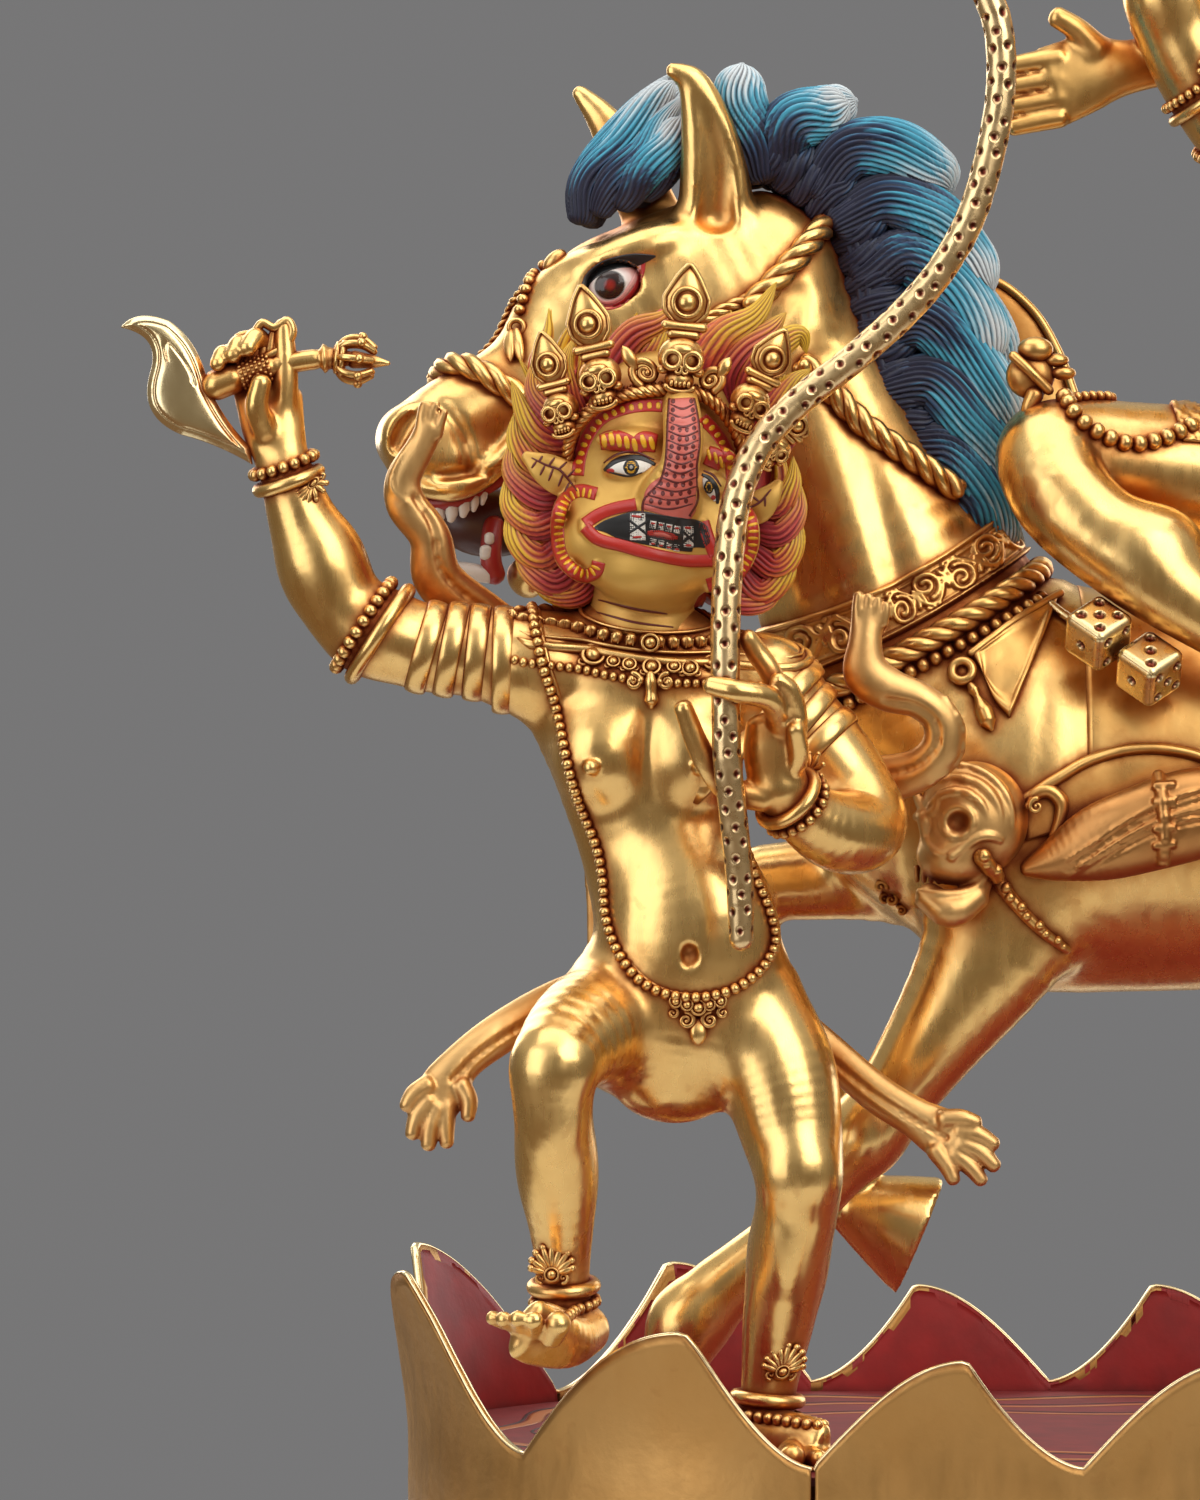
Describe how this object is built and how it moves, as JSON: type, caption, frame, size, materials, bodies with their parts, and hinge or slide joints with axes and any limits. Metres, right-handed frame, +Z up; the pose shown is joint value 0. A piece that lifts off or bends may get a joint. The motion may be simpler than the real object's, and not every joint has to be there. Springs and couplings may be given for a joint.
{
  "type": "buddhist deity figurine",
  "caption": "Gilt copper statue group: a protector goddess on a prancing mule, led by a makara-nosed attendant, on an oblong plinth with a collar of wave petals.",
  "frame": {"origin": "middle of the plinth's underside, where the statue rests", "axes": "+Z up; the mule walks towards -X; the attendant stands on the -Y side, which faces the viewer"},
  "size_m": [0.3098, 0.1563, 0.3441],
  "materials": {
    "gilt": "polished fire gilding on copper with reddish-brown patina in the recesses",
    "old_gilt": "worn gilding over chased copper, warm brown where it is thin",
    "face_gold": "matt cold-gold paint with painted features",
    "red_paint": "matt mineral red with orange and black painted lines",
    "flame_paint": "matt paint from crimson at the roots to yellow at the tips",
    "blue_paint": "matt paint from navy at the roots to pale blue at the tips",
    "copper": "bare hammered copper, dull"
  },
  "bodies": {
    "root": {"closing_plate": "copper", "plinth_wall": "old_gilt", "top_plate": "red_paint", "wave_strip_front": "old_gilt", "wave_strip_right": "old_gilt", "wave_strip_back": "old_gilt", "wave_strip_left": "old_gilt", "mule_fore_nut": "copper", "mule_hind_nut": "copper", "attendant_nut": "copper", "mule_body": "gilt", "mule_foreleg_near": "gilt", "mule_foreleg_far": "gilt", "mule_hindleg_near": "gilt", "mule_hindleg_far": "gilt", "mule_head": "gilt", "mule_jaw": "gilt", "mule_ear_near": "gilt", "mule_ear_far": "gilt", "noseband_rope": "gilt", "cheek_rope": "gilt", "breast_collar": "old_gilt", "mule_mane": "blue_paint", "mule_forelock": "blue_paint", "mule_tail": "blue_paint", "saddle_cloth": "old_gilt", "dice": "gilt", "skull_ornament": "gilt", "skin_bag": "old_gilt", "attendant_torso": "gilt", "attendant_head": "face_gold", "attendant_snout": "flame_paint", "attendant_arm_right": "gilt", "attendant_arm_left": "gilt", "attendant_leg_right": "gilt", "attendant_leg_left": "gilt", "serpent_rein": "gilt", "chopper_handle": "gilt", "chopper_blade": "gilt", "attendant_hair": "flame_paint", "attendant_crown": "gilt", "necklace": "gilt", "bead_chain": "gilt", "armlet": "gilt", "bracelet_right": "gilt", "bracelet_left": "gilt", "anklet_right": "gilt", "anklet_left": "gilt", "skin_cape": "old_gilt", "goddess_torso": "gilt", "goddess_head": "face_gold", "goddess_arm_right": "gilt", "goddess_arm_left": "gilt", "goddess_leg_right": "gilt", "goddess_leg_left": "gilt", "staff": "gilt", "skull_cup": "gilt", "goddess_hair": "flame_paint", "goddess_crown": "gilt", "goddess_skin_cape": "old_gilt"}
  },
  "joints": []
}
